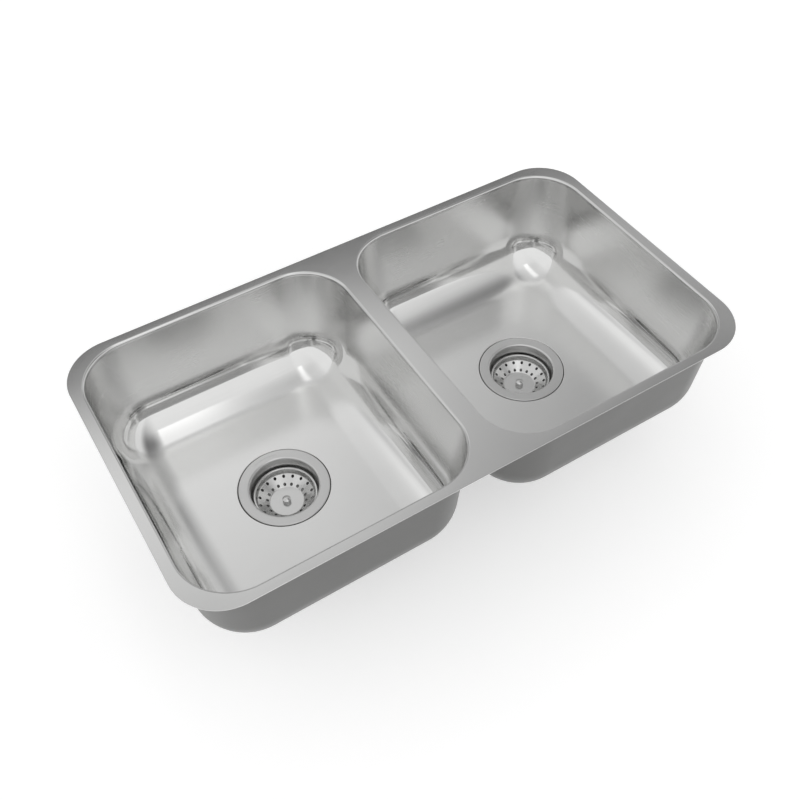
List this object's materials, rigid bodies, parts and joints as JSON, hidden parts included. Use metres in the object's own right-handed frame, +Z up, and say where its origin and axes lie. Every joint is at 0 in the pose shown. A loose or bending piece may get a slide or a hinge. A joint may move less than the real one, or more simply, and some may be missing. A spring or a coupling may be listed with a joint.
{
  "type": "double bowl kitchen sink",
  "caption": "Undermount sheet-steel kitchen sink with two equal drawn bowls under one flat rim, each with a basket strainer waste that lifts out.",
  "frame": {"origin": "centre of the rim's top face, in the middle of the divider between the bowls", "axes": "+X along the length, +Y to the back, +Z up, out of the rim's face"},
  "size_m": [0.73, 0.401, 0.2442],
  "materials": {
    "rim_steel": "satin, brushed along the length",
    "bowl_steel": "satin, fine brushed",
    "strainer_steel": "satin with a polished mouth",
    "basket_steel": "polished",
    "fitting_steel": "turned",
    "insert_brass": "machined",
    "seal_rubber": "moulded",
    "stopper_rubber": "moulded",
    "pad_rubber": "matt sheet",
    "waste_plastic": "moulded, fine grain"
  },
  "bodies": {
    "root": {"rim": "rim_steel", "left_bowl": "bowl_steel", "left_sound_pad": "pad_rubber", "left_strainer_cup": "strainer_steel", "left_flange_seal": "seal_rubber", "left_body_gasket": "seal_rubber", "left_waste_body": "waste_plastic", "left_brass_insert": "insert_brass", "left_clamp_screw": "fitting_steel", "right_bowl": "bowl_steel", "right_sound_pad": "pad_rubber", "right_strainer_cup": "strainer_steel", "right_flange_seal": "seal_rubber", "right_body_gasket": "seal_rubber", "right_waste_body": "waste_plastic", "right_brass_insert": "insert_brass", "right_clamp_screw": "fitting_steel"},
    "left_plug": {"left_post": "fitting_steel", "left_stopper": "stopper_rubber"},
    "left_strainer": {"left_basket": "basket_steel", "left_knob": "basket_steel"},
    "right_plug": {"right_post": "fitting_steel", "right_stopper": "stopper_rubber"},
    "right_strainer": {"right_basket": "basket_steel", "right_knob": "basket_steel"}
  },
  "joints": [
    {"name": "left_lift", "type": "slide", "parent": "root", "child": "left_plug", "axis": [0, 0, 1], "range_m": [-0.0047, 0.22]},
    {"name": "left_turn", "type": "hinge", "parent": "left_plug", "child": "left_strainer", "pos_m": [-0.182, 0, -0.1825], "axis": [0, 0, 1], "continuous": true},
    {"name": "right_lift", "type": "slide", "parent": "root", "child": "right_plug", "axis": [0, 0, 1], "range_m": [-0.0047, 0.22]},
    {"name": "right_turn", "type": "hinge", "parent": "right_plug", "child": "right_strainer", "pos_m": [0.182, 0, -0.1825], "axis": [0, 0, 1], "continuous": true}
  ]
}
